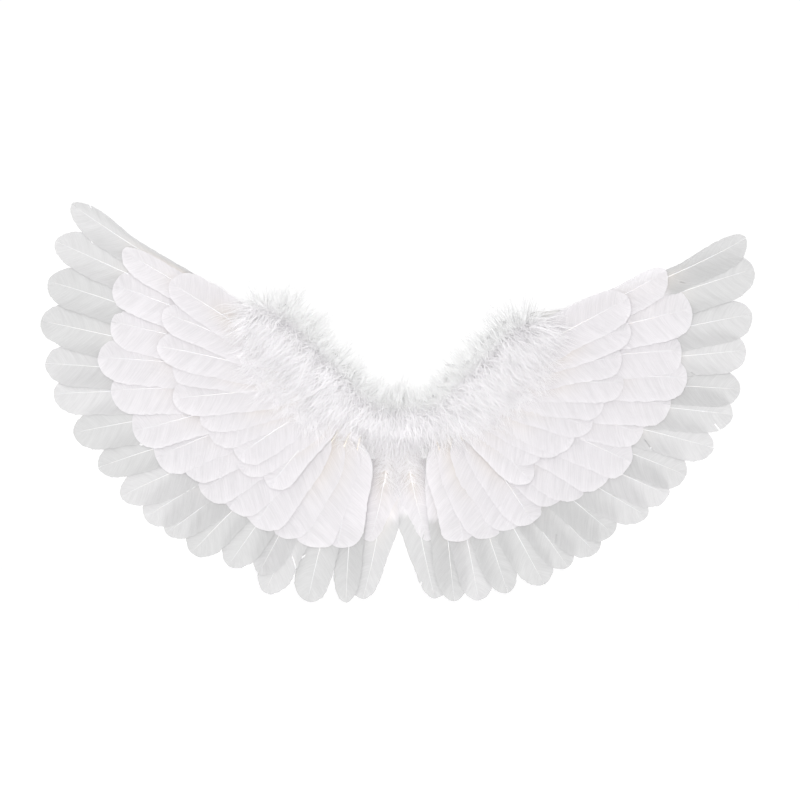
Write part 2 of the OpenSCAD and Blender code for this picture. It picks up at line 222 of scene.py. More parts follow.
def vane_material():
    """Barbs run along V; U counts millimetres along the shaft; thin is 1 on a single layer, which
    the colour paints grey as shade.
    """
    m = Shader("feather_vane")
    barbs = m.node("UVMap", uv_map="barbs").outputs["UV"]
    fine = m.noise(m.stretched(barbs, (1.1, 0.35, 1)), 1.0, 4, 0.65)
    broad = m.noise(m.stretched(barbs, (0.22, 0.25, 1)), 1.0, 2)
    thin = m.node("Attribute", attribute_name="thin").outputs["Fac"]
    cream = m.node("Attribute", attribute_name="cream").outputs["Fac"]
    # Painted shade: on a single layer (thin 1) the white turns grey, for light lost through the
    # vane.
    base = m.mix(thin, (0.792, 0.776, 0.794), (0.578, 0.578, 0.578))
    base = m.mix(cream, base, (0.772, 0.720, 0.672))
    lines = m.ramp(fine, [(0.3, grey(0.90)), (0.65, grey(1.0))])
    patches = m.ramp(broad, [(0.35, grey(0.95)), (0.65, grey(1.0))])
    colour = m.mix(1.0, m.mix(1.0, base, lines, "MULTIPLY"), patches, "MULTIPLY")
    m.set(Base_Color=colour, Roughness=0.6, Sheen_Weight=0.1, Sheen_Roughness=0.4)
    m.main.inputs["Specular IOR Level"].default_value = 0.2
    m.bump(fine, 0.6, 0.0003)
    m.let_light_through(0.36, colour)
    return m.material


def shaft_material():
    m = Shader("feather_shaft")
    place = m.node("UVMap", uv_map="barbs").outputs["UV"]
    along = m.node("SeparateXYZ", {"Vector": place}).outputs["X"]
    streaks = m.noise(m.stretched(place, (0.05, 9, 1)), 1.0, 3)
    thin = m.node("Attribute", attribute_name="thin").outputs["Fac"]
    tint = m.ramp(along, [(0.0, (0.78, 0.71, 0.61)), (0.15, (0.78, 0.73, 0.66)),
                          (0.4, (0.75, 0.735, 0.74)), (1.0, (0.73, 0.72, 0.735))])
    # Painted shade: on the single layer the shaft turns grey like its vane.
    tint = m.mix(thin, tint, (0.72, 0.72, 0.72))
    streaked = m.ramp(streaks, [(0.3, grey(0.93)), (0.7, grey(1))])
    m.set(Base_Color=m.mix(1.0, tint, streaked, "MULTIPLY"), Roughness=0.35,
          Subsurface_Weight=0.15)
    m.main.inputs["Subsurface Radius"].default_value = (0.001, 0.0008, 0.0006)
    m.bump(streaks, 0.15, 0.0002)
    return m.material


def down_material():
    m = Shader("marabou_down")
    thin = m.node("Attribute", attribute_name="thin").outputs["Fac"]
    place = m.node("TexCoord").outputs["Object"]
    patches = m.noise(place, 90, 3)
    # Painted shade: where thin is 1 the fringe turns a neutral grey, now nearly as light as the
    # body.
    base = m.mix(thin, (0.918, 0.911, 0.919), (0.912, 0.912, 0.912))
    colour = m.mix(1.0, base, m.ramp(patches, [(0.3, grey(0.95)), (0.65, grey(1))]), "MULTIPLY")
    # The faint emission is painted light: a glow that stands in for light scattered through the
    # dense down.
    m.set(Base_Color=colour, Roughness=0.85, Sheen_Weight=0.3, Sheen_Roughness=0.5,
          Emission_Color=colour, Emission_Strength=0.06)
    m.main.inputs["Specular IOR Level"].default_value = 0.1
    m.let_light_through(0.55, colour)
    return m.material


def felt_material():
    m = Shader("felt")
    place = m.node("TexCoord").outputs["Object"]
    fibres = m.noise(place, 900, 5, 0.7)
    clumps = m.noise(place, 160, 3)
    colour = m.mix(1.0, m.ramp(fibres, [(0.3, grey(0.58)), (0.7, grey(0.74))]),
                   m.ramp(clumps, [(0.3, grey(0.90, 0.01)), (0.7, grey(1))]), "MULTIPLY")
    m.set(Base_Color=colour, Roughness=0.95, Sheen_Weight=0.35, Sheen_Roughness=0.6)
    m.main.inputs["Specular IOR Level"].default_value = 0.05
    m.bump(fibres, 0.6, 0.0004)
    return m.material


def card_material():
    m = Shader("card")
    place = m.node("TexCoord").outputs["Object"]
    fibres = m.noise(m.stretched(place, (1, 1, 3)), 300, 4)
    m.set(Base_Color=m.ramp(fibres, [(0.3, grey(0.66, 0.03)), (0.7, grey(0.74, 0.02))]),
          Roughness=0.8)
    m.bump(fibres, 0.2, 0.0002)
    return m.material


def elastic_material():
    m = Shader("woven_elastic")
    place = m.node("UVMap", uv_map="weave").outputs["UV"]
    across = m.wave(m.stretched(place, (0, 1, 0)), 0.25, 0.6, "Y")
    along = m.wave(m.stretched(place, (1, 0, 0)), 0.45, 0.4, detail=1.0)
    weave = m.node("Math", {0: across, 1: along}, operation="MULTIPLY").outputs[0]
    m.set(Base_Color=m.ramp(weave, [(0.0, grey(0.56)), (0.8, grey(0.72))]), Roughness=0.7,
          Sheen_Weight=0.2)
    m.bump(weave, 0.6, 0.0003)
    return m.material


def thread_material():
    m = Shader("thread")
    place = m.node("TexCoord").outputs["Object"]
    twist = m.wave(place, 700, 1.0)
    m.set(Base_Color=m.ramp(twist, [(0.0, grey(0.55)), (1.0, grey(0.76))]), Roughness=0.6,
          Sheen_Weight=0.2)
    m.bump(twist, 0.4, 0.0002)
    return m.material


def wire_material():
    m = Shader("steel_wire")
    place = m.node("TexCoord").outputs["Object"]
    scratches = m.noise(place, 1200, 4, 0.7)
    m.set(Base_Color=m.ramp(scratches, [(0.3, grey(0.52)), (0.7, grey(0.66))]), Metallic=1.0,
          Roughness=0.38)
    m.bump(scratches, 0.2, 0.0001)
    return m.material


def foam_material():
    m = Shader("foam")
    place = m.node("TexCoord").outputs["Object"]
    cells = m.node("TexVoronoi", {"Vector": place, "Scale": 1400}).outputs["Distance"]
    m.set(Base_Color=m.ramp(cells, [(0.0, (0.74, 0.725, 0.74)), (0.6, (0.85, 0.835, 0.85))]),
          Roughness=0.9)
    m.bump(cells, 0.4, 0.0002)
    return m.material


def tape_material():
    m = Shader("cotton_tape")
    place = m.node("TexCoord").outputs["Object"]
    warp = m.wave(place, 260, 0.5, "Z")
    weft = m.wave(place, 260, 0.5)
    weave = m.node("Math", {0: warp, 1: weft}, operation="MAXIMUM").outputs[0]
    m.set(Base_Color=m.ramp(weave, [(0.0, grey(0.62)), (1.0, grey(0.76))]), Roughness=0.85,
          Sheen_Weight=0.2)
    m.bump(weave, 0.5, 0.0002)
    return m.material


def soft_cap_material():
    m = Shader("soft_plastic")
    place = m.node("TexCoord").outputs["Object"]
    grain = m.noise(place, 1500, 2)
    m.set(Base_Color=m.ramp(grain, [(0.3, grey(0.68, 0.02)), (0.7, grey(0.75, 0.02))]),
          Roughness=0.5)
    m.bump(grain, 0.1, 0.0001)
    return m.material


VANE, SHAFT, DOWN = vane_material(), shaft_material(), down_material()
FELT, CARD, ELASTIC = felt_material(), card_material(), elastic_material()
THREAD, WIRE, CAP = thread_material(), wire_material(), soft_cap_material()
FOAM, TAPE = foam_material(), tape_material()


# ---- Mesh helpers ----

def make_piece(name, verts, faces, materials, face_materials=None, uv=None, uv_name="barbs",
               floats=None, smooth=True):
    """A mesh object in the scene. uv and floats hold a value for each vertex."""
    mesh = bpy.data.meshes.new(name)
    mesh.from_pydata(np.asarray(verts).tolist(), [], [tuple(f) for f in faces])
    for material in materials:
        mesh.materials.append(material)
    if face_materials is not None:
        mesh.polygons.foreach_set("material_index", np.asarray(face_materials, np.int32))
    if uv is not None:
        corner = np.empty(len(mesh.loops), np.int32)
        mesh.loops.foreach_get("vertex_index", corner)
        layer = mesh.uv_layers.new(name=uv_name)
        layer.data.foreach_set("uv", np.asarray(uv, np.float32)[corner].ravel())
    for key, values in (floats or {}).items():
        attribute = mesh.attributes.new(key, "FLOAT", "POINT")
        attribute.data.foreach_set("value", np.asarray(values, np.float32))
    mesh.polygons.foreach_set("use_smooth", [smooth] * len(mesh.polygons))
    mesh.update()
    obj = bpy.data.objects.new(name, mesh)
    bpy.context.collection.objects.link(obj)
    return obj


def islands(node):
    """The node's separate solids, each as an array of its distinct vertices."""
    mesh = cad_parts[node].data
    co = np.array([v.co for v in mesh.vertices], float)
    same_point = 0.002 * MM
    keys, first = {}, []
    for point in np.round(co / same_point).astype(int).tolist():
        first.append(keys.setdefault(tuple(point), len(keys)))
    parent = list(range(len(keys)))

    def root(i):
        while parent[i] != i:
            parent[i] = parent[parent[i]]
            i = parent[i]
        return i

    for edge in mesh.edges:
        a, b = root(first[edge.vertices[0]]), root(first[edge.vertices[1]])
        parent[a] = b
    groups = {}
    for index, key in enumerate(first):
        groups.setdefault(root(key), {})[key] = co[index]
    return [np.array(list(g.values())) for g in groups.values()]


def unit(v):
    return v / np.linalg.norm(v)


class Bag:
    """Collects the parts of one mesh."""

    def __init__(self):
        self.verts, self.faces, self.mats, self.uv, self.thin, self.cream = [], [], [], [], [], []
        self.count = 0

    def add(self, verts, faces, material, uv, thin=0.0, cream=0.0):
        verts = np.asarray(verts).reshape(-1, 3)
        self.verts.append(verts)
        self.faces += [tuple(f) for f in (np.asarray(faces) + self.count).tolist()]
        self.mats += [material] * len(faces)
        self.uv.append(np.asarray(uv, float).reshape(-1, 2) * np.ones((len(verts), 1)))
        for kept, value in ((self.thin, thin), (self.cream, cream)):
            kept.append(np.broadcast_to(np.asarray(value, float).ravel(), len(verts)))
        self.count += len(verts)

    def cap(self, corners, material):
        self.faces.append(tuple(int(c) for c in corners))
        self.mats.append(material)

    def piece(self, name, materials, uv_name="barbs"):
        return make_piece(name, np.concatenate(self.verts), self.faces, materials, self.mats,
                          np.concatenate(self.uv), uv_name,
                          {"thin": np.concatenate(self.thin), "cream": np.concatenate(self.cream)})


def grid_faces(rows, columns):
    """Quads between the points of a grid."""
    i, j = np.meshgrid(np.arange(rows - 1), np.arange(columns - 1), indexing="ij")
    a = (i * columns + j).ravel()
    return np.stack([a, a + 1, a + columns + 1, a + columns], 1)


def tube_faces(rings, sides):
    """Quads round a tube, whose points go round each ring in turn."""
    ring, around = np.meshgrid(np.arange(rings - 1) * sides, np.arange(sides), indexing="ij")
    turned = (around + 1) % sides
    corners = [ring + around, ring + turned, ring + turned + sides, ring + around + sides]
    return np.stack(corners, 2).reshape(-1, 4)


# ---- Feathers ----

# As shares of a feather's length: where its vane starts, how far a barb's tip lies past its root,
# and where the shaft ends.
VANE_START = 0.06
BARB_SHIFT = 0.115
SHAFT_END = 1 - 0.4 * BARB_SHIFT
TYPICAL_LENGTH = 0.165


def ease(x, low, high):
    """0 up to low, 1 from high, and a smooth step between."""
    x = np.clip((x - low) / (high - low), 0, 1)
    return x * x * (3 - 2 * x)


def vane_half(b, wide_from, round_from):
    """A vane's width, as a share of its widest, at b from 0 at the quill end to 1 at the tip."""
    low = 1 - np.clip((wide_from - b) / wide_from, 0, 1) ** 2.6
    high = np.clip(1 - np.clip((b - round_from) / (1 - round_from), 0, 1) ** 3, 0, 1) ** 0.55
    return low * high


class Feather:
    """Where a CAD feather lies: its quill end, its axes (along, across, front) and its size."""

    def __init__(self, points, hub):
        centre = points.mean(0)
        self.along, self.across, self.front = np.linalg.svd(points - centre)[2]
        reach = (points - centre) @ self.along
        ends = [centre + self.along * reach.min(), centre + self.along * reach.max()]
        if np.linalg.norm(ends[0] - hub) > np.linalg.norm(ends[1] - hub):
            ends.reverse()
        self.quill, self.tip = ends
        self.length = np.linalg.norm(self.tip - self.quill)
        self.along = (self.tip - self.quill) / self.length
        if self.front[1] > 0:
            self.front = -self.front
        self.across = np.cross(self.front, self.along)
        self.half = np.abs((points - centre) @ self.across).max()

    def lean(self, angle):
        """Turns the feather a little about its quill end, in its own plane."""
        turned = math.cos(angle) * self.along + math.sin(angle) * self.across
        self.along, self.across = turned, np.cross(self.front, turned)

    def tuck(self, distance):
        """Runs the quill on under the trim."""
        self.quill = self.quill - distance * self.along
        self.length += distance


class Look:
    """How a row's feathers are drawn, before each one's own small differences."""

    # thin_from is the share of the length where the painted grey shade of a single layer begins.
    def __init__(self, rows, thin_from, wide_from=0.5, round_from=0.72, splits=0.25, curl=-2.6 * MM,
                 twist=0.04, sway=0.012, widen=1.0, down=60, down_to=0.12, turn=0.0,
                 uneven=0.0, tuck=0.0):
        self.rows, self.thin_from = rows, thin_from
        self.wide_from, self.round_from = wide_from, round_from
        self.splits, self.curl, self.twist, self.sway = splits, curl, twist, sway
        self.widen, self.down, self.down_to = widen, down, down_to
        self.turn, self.uneven, self.tuck = turn, uneven, tuck


def add_feather(bag, f, look, rng, sag, widths, bare_edge, down):
    """Adds a feather: a vane of barb rows on each side of a tapering shaft.

    sag moves the shaft's middle across; widths scales the vane on the -across and +across side;
    bare_edge is the side, -1 or 1, where nothing lies behind the vane, and its vane is painted the
    grey shade of a single layer.
    """
    length, half, rows, steps = f.length, f.half * look.widen, look.rows, 7
    phase = rng.uniform(0, 1000)
    curl = look.curl * rng.uniform(0.4, 1.3)
    twist = rng.uniform(-1, 1) * look.twist
    creamy = rng.uniform(0.5, 1.1) if rng.uniform() < 0.55 else rng.uniform(0, 0.15)
    thin_from = look.thin_from + rng.uniform(-0.02, 0.02)
    # shade_depth scales how grey this feather's single layer is painted: painted shade.
    shade_depth = rng.uniform(0.72, 1.12)

    def place(s, lateral, out):
        s = np.asarray(s)
        sway = sag * 4 * s * (1 - s) + 0.003 * length * np.sin(6.3 * s + phase) * s
        rise = (curl * np.clip((s - 0.3) / 0.7, 0, 1) ** 2 + 0.2 * MM * np.sin(9 * s + phase)
                + twist * lateral * ease(s, 0.5, 1))
        return (f.quill + np.multiply.outer(s * length, f.along)
                + np.multiply.outer(lateral + sway, f.across)
                + np.multiply.outer(out + rise, f.front))

    q = 1 - (1 - np.linspace(0, 1, rows)) ** 1.2
    start = VANE_START + (SHAFT_END - VANE_START) * q
    end = start + BARB_SHIFT * (1 - 0.6 * q ** 4)
    v = np.linspace(0, 1, steps)
    for side in (-1, 1):
        width = half * vane_half(end, look.wide_from, look.round_from + rng.uniform(-0.09, 0.06))
        share = widths[0] if side < 0 else widths[1]
        width = width * (share(end) if callable(share) else share)
        ragged = rng.normal(0, 1, rows)
        soft = np.convolve(ragged, [0.1, 0.2, 0.4, 0.2, 0.1], "same")
        swell = np.sin(end * rng.uniform(7, 12) + rng.uniform(0, 6))
        width = width * (1 + 0.02 * soft + 0.025 * swell) + 0.10 * MM * ragged * (end > 0.3)
        s = start[:, None] + (end - start)[:, None] * v ** 1.3
        s = s + 0.002 * np.outer(soft, v)
        lateral = side * np.outer(width, v)
        cut = np.zeros((rows - 1, steps - 1), bool)
        if rng.uniform() < look.splits:
            k = min(max(int(rng.uniform(0.45, 0.95) * rows), 3), rows - 4)
            depth = rng.uniform(0.3, 0.8)
            gape = rng.uniform(0.1, 0.5) * MM / length
            away = np.arange(rows) - k - 0.5
            pull = np.sign(away) * np.exp(-np.abs(away) / (0.04 * rows))
            s = s + gape * np.outer(pull, np.clip((v - depth) / (1 - depth), 0, 1))
            cut[k, np.searchsorted(v, depth):] = True
        ridge = 0.09 * MM * np.outer(rng.normal(0, 1, rows), v)
        out = -0.10 * half * (lateral / half) ** 2 + ridge
        faces = grid_faces(rows, steps)[~cut.ravel()]
        if side < 0:
            faces = faces[:, ::-1]
        uv = np.stack(np.broadcast_arrays(phase + (start * length / MM)[:, None], side * v * 3), 2)
        # thin is painted shade: grey past thin_from, and on the bare edge from near the quill end.
        thin = shade_depth * ease(s, thin_from, thin_from + 0.06)
        if side == bare_edge:
            thin = np.maximum(thin, ease(v, 0.15, 0.5)[None] * ease(s, 0.15, 0.3))
        cream = creamy * (1 - v)[None] ** 1.5 * ease(s, 0.0, 0.1) * (1 - ease(s, 0.35, 0.75))
        bag.add(place(s, lateral, out), faces, 0, uv, thin, cream)

    sides, count = 8, 26
    s = np.linspace(0, SHAFT_END + 0.01, count)
    thickest = (0.95 * (length / TYPICAL_LENGTH) ** 0.5) * MM
    radius = thickest * np.clip(1 - s, 0, 1) ** 1.1 + 0.08 * MM
    radius[0] *= 0.55
    turn = np.linspace(0, 2 * math.pi, sides, endpoint=False)
    verts = place(s[:, None] + 0 * turn, radius[:, None] * np.cos(turn),
                  radius[:, None] * (0.75 * np.sin(turn) + 0.15))
    first = bag.count
    uv = np.stack(np.broadcast_arrays(s[:, None], turn + phase), 2)
    # The shaft takes the same painted shade, starting a little before the vane's.
    thin = np.repeat(ease(s, thin_from - 0.1, thin_from), sides)
    bag.add(verts, tube_faces(count, sides), 1, uv, thin)
    bag.cap(first + np.arange(sides)[::-1], 1)
    bag.cap(first + (count - 1) * sides + np.arange(sides), 1)
    add_base_down(bag, f, down, rng, place, look.down_to)


def ribbons(centre, width, facing):
    """Flat tapering strands. centre is (n, points, 3), width is (n, points) and facing (n, 3)."""
    heading = centre[:, -1] - centre[:, 0]
    flat = np.cross(heading, facing)
    flat /= np.linalg.norm(flat, axis=1, keepdims=True)
    offset = width[..., None] * flat[:, None]
    return np.stack([centre - offset, centre + offset], 2)


def ribbon_faces(n, points):
    """Quads of n strands from ribbons."""
    base = ((np.arange(n) * points * 2)[:, None] + (np.arange(points - 1) * 2)[None]).ravel()
    return np.stack([base, base + 1, base + 3, base + 2], 1)


def add_base_down(bag, f, count, rng, place, reach_along):
    """The loose down near a feather's quill end."""
    points = 5
    s = rng.uniform(0.0, reach_along, count)
    side = rng.choice([-1, 1], count)
    t = np.linspace(0, 1, points)
    reach = f.half * rng.uniform(0.3, 0.9, count) * (0.75 + 0.5 * ease(s, 0, 0.15))
    lean = rng.uniform(0.03, 0.15, count)
    backwards = rng.uniform(size=count) < 0.3 * (1 - s / reach_along)
    lean = np.where(backwards, -rng.uniform(0.05, 0.16, count), lean)
    lift = rng.uniform(0.3, 2.2, count) * MM
    wander = rng.normal(0, 0.12, count)
    along = s[:, None] + lean[:, None] * t ** 1.2
    lateral = (side * reach)[:, None] * (np.sin(t * 1.35) + wander[:, None] * np.sin(4 * t) * t)
    out = 0.9 * MM + lift[:, None] * np.sin(t * 2.2)
    centre = place(along, lateral, out)
    facing = f.front + 0.7 * rng.normal(0, 1, (count, 3))
    width = rng.uniform(0.08, 0.17, count)[:, None] * MM * (1 - 0.85 * t ** 1.5)
    bag.add(ribbons(centre, width, facing), ribbon_faces(count, points), 2, (0, 0), 0.0)


# All quill ends are nearer this point than their tips are.
HUB = np.array([0, 0, 50 * MM])


# Outer feathers that were glued out of line: (length, turn in radians, width) against the rest.
OUT_OF_LINE = {
    ("left_outer_feathers", 5): (0.985, -0.045, 1),
    ("left_outer_feathers", 12): (0.95, 0, 0.95),
    ("left_outer_feathers", 13): (0.89, 0, 0.95),
    ("left_outer_feathers", 14): (1.01, -0.025, 0.95),
    ("left_outer_feathers", 15): (1, 0.02, 0.75),
    ("left_outer_feathers", 16): (0.98, -0.09, 1),
    ("right_outer_feathers", 0): (1.05, 0, 1),
    ("right_outer_feathers", 1): (1.05, 0.012, 1.05),
    ("right_outer_feathers", 5): (1.035, 0, 1),
    ("right_outer_feathers", 6): (1.035, 0.04, 1),
    ("right_outer_feathers", 8): (0.97, 0, 1),
    ("right_outer_feathers", 10): (0.95, 0, 1),
}


def lead_side_width(b):
    """The foremost feather's narrow leading vane, which widens to the tip."""
    return 0.55 + 0.35 * ease(b, 0.6, 0.85)


def centre_side_width(b):
    """The middle feathers' vane beside the parting, full at first and narrower to the tip."""
    return 1.27 - 0.55 * ease(b, 0.35, 0.85)


def feather_piece(name, node, body, seed, look, side=0):
    """A row of feathers; where side is -1 or 1, only those on that side of the middle."""
    rng = np.random.default_rng(seed)
    bag = Bag()
    feathers = sorted((Feather(p, HUB) for p in islands(node)), key=lambda f: -f.tip[2])
    feathers = [f for f in feathers if side * f.tip[0] >= 0]
    for index, f in enumerate(feathers):
        leading = -1 if f.along[0] < 0 else 1
        sag = leading * look.sway * f.length * rng.uniform(0.3, 1.2)
        widths = (1 + rng.uniform(-0.1, 0.1, 2)) * (0.9 if f.tip[2] < -100 * MM else 1)
        f.lean(rng.uniform(-1, 1) * look.turn)
        f.length *= 1 + rng.uniform(-1, 0.6) * look.uneven
        f.tuck(look.tuck)
        bare = 0
        if index == 0 and "middle" in node and body != "spine":
            sag, widths[0 if leading < 0 else 1] = -leading * 3 * MM, 0.55
        longer, turned, wider = OUT_OF_LINE.get((node, index), (1, 0, 1))
        f.lean(turned)
        f.length, widths = f.length * longer, widths * wider
        if index == 0 and node.endswith("outer_feathers") and body != "spine":
            sag, bare = (4 * MM, -1) if leading < 0 else (-6.5 * MM, 1)
            widths = (lead_side_width, 1.5) if leading < 0 else (1.5, lead_side_width)
        if body == "spine":
            sag = -leading * 3 * MM
            f.lean(0.01 + leading * 0.012)
            widths = (1.15, centre_side_width) if leading < 0 else (centre_side_width, 1.15)
        down = look.down * (5 if bare else 1)
        add_feather(bag, f, look, rng, sag, widths, bare, down)
    piece = bag.piece(name, [VANE, SHAFT, DOWN])
    if side:
        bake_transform(piece)
    else:
        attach(piece, body)
    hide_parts(node)
    return piece


# Look's second value, thin_from, is where a feather's painted grey shade begins; 1.2 is past the
# tip, so none.
OUTER = Look(84, 0.50, round_from=0.78, curl=3 * MM, twist=0.07, widen=1.15, splits=0.4,
             turn=0.012)
MIDDLE = Look(66, 1.2, round_from=0.78, widen=1.34, turn=0.055, uneven=0.06, splits=0)
INNER = Look(58, 1.2, wide_from=0.36, widen=1.2, down=480, down_to=0.34, splits=0.05, turn=0.06,
             uneven=0.08, tuck=11 * MM)
for side_index, side in enumerate(SIDES):
    for row, look in (("outer", OUTER), ("middle", MIDDLE), ("inner", INNER)):
        feather_piece(f"{side}_{row}_row", f"{side}_{row}_feathers", side + "_wing",
                      10 * side_index + look.rows, look)
CENTRE_LONG = Look(80, 0.47, wide_from=0.3, round_from=0.78, curl=1 * MM, widen=1.05, down=260,
                   down_to=0.3)
CENTRE_SHORT = Look(60, 1.2, wide_from=0.35, curl=0.3 * MM, down=420, down_to=0.36)
for side, sign in SIDES.items():
    feather_piece(side + "_centre_long_feather", "centre_outer_feathers", "spine", 11 + sign,
                  CENTRE_LONG, sign)
    feather_piece(side + "_centre_short_feather", "centre_middle_feathers", "spine", 15 + sign,
                  CENTRE_SHORT, sign)


# ---- Marabou trim ----

def cord_path(node):
    """The middle of a planar tube: its rearmost line of vertices, in order of x."""
    co = islands(node)[0]
    level = co[:, 1].mean()
    line = co[co[:, 1] > co[:, 1].max() - 0.02 * MM]
    line = line[np.argsort(line[:, 0])]
    line[:, 1] = level
    return line


trim_line = np.concatenate([cord_path("left_marabou_cord"), cord_path("centre_marabou_cord"),
                            cord_path("right_marabou_cord")])
trim_s = np.concatenate([[0], np.cumsum(np.linalg.norm(np.diff(trim_line, axis=0), axis=1))])
TRIM_LENGTH = trim_s[-1]
TRIM_END = TRIM_LENGTH - 10 * MM
FRONT = np.array([0.0, -1.0, 0.0])
UP_REACH, DOWN_REACH, FRONT_REACH = 33 * MM, 41 * MM, 11 * MM
TUFTS, STRANDS = 2200, 18
HANGING_SHARE, SPIKY_SHARE = 0.47, 0.55


def on_cord(s):
    """The points at distances s along the trim's cord."""
    return np.stack([np.interp(s, trim_s, trim_line[:, i]) for i in range(3)], -1)


def trim_axes(s):
    """The cord's direction at s, and the direction up across it."""
    reach = 6 * MM
    d = on_cord(np.minimum(s + reach, TRIM_LENGTH)) - on_cord(np.maximum(s - reach, 0))
    d = d / np.linalg.norm(d, axis=-1, keepdims=True)
    up = np.stack([-d[..., 2], np.zeros_like(d[..., 0]), d[..., 0]], -1)
    return d, up


def on_trim(s):
    """The trim is pinned a little lower on the right wing than the neckline of its board."""
    slip = 9 * MM * ease(s / TRIM_LENGTH, 0.52, 0.62) + 4 * MM * ease(s / TRIM_LENGTH, 0.88, 1)
    return on_cord(s) - slip[..., None] * trim_axes(s)[1]


def fluff_reach(turn):
    """How far the down stands from its cord: turn 0 is up across the neckline, 90 to the front."""
    c, s = np.cos(turn), np.sin(turn)
    across = np.where(c > 0, UP_REACH, DOWN_REACH)
    return 1 / np.sqrt((c / across) ** 2 + (s / FRONT_REACH) ** 2)


def lie_on_feathers(points, s):
    """Keeps down that hangs past the cord in front of the feathers, and grades its painted grey
    shade by height.
    """
    up = trim_axes(s)[1]
    base = on_trim(s)
    offset = points - base[:, None]
    height = (offset * up[:, None]).sum(2)
    front = offset @ FRONT
    beside = ease(np.abs(base[:, :1]), 22 * MM, 38 * MM)
    over = beside * ease(-height, 4 * MM, 15 * MM) + (1 - beside) * ease(-height, 14 * MM, 27 * MM)
    level = -6 * MM + beside * 12 * MM + 0.4 * np.abs(front)
    lifted = front + over * np.where(beside > 0.95, np.maximum(level - front, 0), level - front)
    lifted = np.clip(lifted, -9 * MM, 12 * MM)
    # thin greys the upper fringe: painted shade, full from 9 mm above the cord.
    thin = ease(height, 0, 9 * MM)
    return points + (lifted - front)[..., None] * FRONT, thin


def down_strands(rng, tufts, strands):
    """Tufts of down. Returns strand middles (n, points, 3), their place on the cord and thin, the
    painted grey shade of the fringe.
    """
    n = tufts * strands
    s = np.repeat(rng.uniform(0, TRIM_END, tufts), strands)
    hanging = rng.uniform(size=tufts) < HANGING_SHARE
    turn = np.where(hanging, rng.uniform(145, 200, tufts), rng.uniform(-28, 150, tufts))
    turn = np.repeat(np.radians(turn), strands)
    slant = np.repeat(rng.normal(0, 0.32, tufts), strands)
    edge = np.clip(np.minimum(s, TRIM_END - s) / (16 * MM), 0, 1)
    ending = np.where(s < TRIM_LENGTH / 2, -1, 1) * (1 - edge)
    d, up = trim_axes(s)
    radial = np.cos(turn)[:, None] * up + np.sin(turn)[:, None] * FRONT
    plume = radial + (slant + 1.1 * ending)[:, None] * d
    plume /= np.linalg.norm(plume, axis=1, keepdims=True)
    outward = np.abs(2 * s / TRIM_LENGTH - 1)
    fuller = 1 - 0.10 * np.exp(-((outward - 0.27) / 0.12) ** 2) + 0.17 * ease(outward, 0.45, 0.9)
    reach = np.where(np.repeat(hanging, strands), DOWN_REACH, fluff_reach(turn) * fuller)
    spiky = np.repeat(~hanging & (rng.uniform(size=tufts) < SPIKY_SHARE), strands)
    reach = reach * np.repeat(rng.uniform(0.72, 1.0, tufts), strands) * np.where(spiky, 1.14, 1)
    reach = reach * np.where(np.repeat(hanging, strands), rng.uniform(0.65, 1.1, n), 1)
    spread = rng.normal(0, 1, (n, 3))
    spread -= (spread * plume).sum(1)[:, None] * plume
    spread /= np.linalg.norm(spread, axis=1, keepdims=True)
    fork = rng.uniform(0.05, 0.5, n)
    splay = rng.uniform(0.15, 0.6, n) * np.where(spiky, 0.35, 1)
    length = reach * rng.uniform(0.7, 1.12, n) * (1 - 0.55 * fork)
    root = on_trim(s) + plume * (reach * fork)[:, None]
    higher = np.repeat(hanging, strands) * rng.uniform(-3, 13, n) * MM
    root = root + higher[:, None] * up + 0.25 * np.maximum(higher, 0)[:, None] * FRONT
    t = np.linspace(0, 1, 6)
    droop = rng.uniform(-0.1, 0.3, n)
    wiggle = rng.normal(0, 0.05, (n, 3))
    centre = (root[:, None] + (length[:, None] * (t - 0.5 * droop[:, None] * t ** 2))[..., None]
              * plume[:, None]
              + ((length * splay)[:, None] * np.sin(t * 1.9))[..., None] * spread[:, None]
              + (length[:, None] * np.sin(3 * t) * t)[..., None] * wiggle[:, None])
    centre, thin = lie_on_feathers(centre, s)
    facing = rng.normal(0, 1, (n, 3)) + 0.8 * FRONT
    width = (rng.uniform(0.15, 0.32, n) * np.where(spiky, 1.3, 1))[:, None] * MM
    width = width * (1 - 0.85 * t ** 1.5)
    return ribbons(centre, width, facing), np.repeat(thin[..., None], 2, 2), root[:, 0]


def trim_core(rng, sign):
    """The dense middle of the trim, a lumpy tube that the loose down hides."""
    rings, sides = 70, 20
    ends = (0, TRIM_LENGTH / 2) if sign < 0 else (TRIM_LENGTH / 2, TRIM_END)
    s = np.linspace(*ends, rings)
    turn = np.linspace(0, 2 * math.pi, sides, endpoint=False)
    end_share = np.clip(np.minimum(s, TRIM_END - s) / (14 * MM), 0, 1)
    swell = 0.54 * np.sqrt(np.clip(1 - (1 - end_share) ** 2, 0.02, 1))
    lumps = 1 + 0.10 * rng.normal(0, 1, (rings, sides))
    up = trim_axes(s)[1]
    radius = np.minimum(fluff_reach(turn), 26 * MM)[None] * swell[:, None] * lumps
    back = np.where(np.sin(turn) < 0, 0.75, 1.0)
    height, front = radius * np.cos(turn), radius * np.sin(turn) * back
    verts = on_trim(s)[:, None] + height[..., None] * up[:, None] + front[..., None] * FRONT
    # The last value greys the core's upper side the same way: painted shade.
    return verts.reshape(-1, 3), tube_faces(rings, sides), ease(height, 2 * MM, 13 * MM)


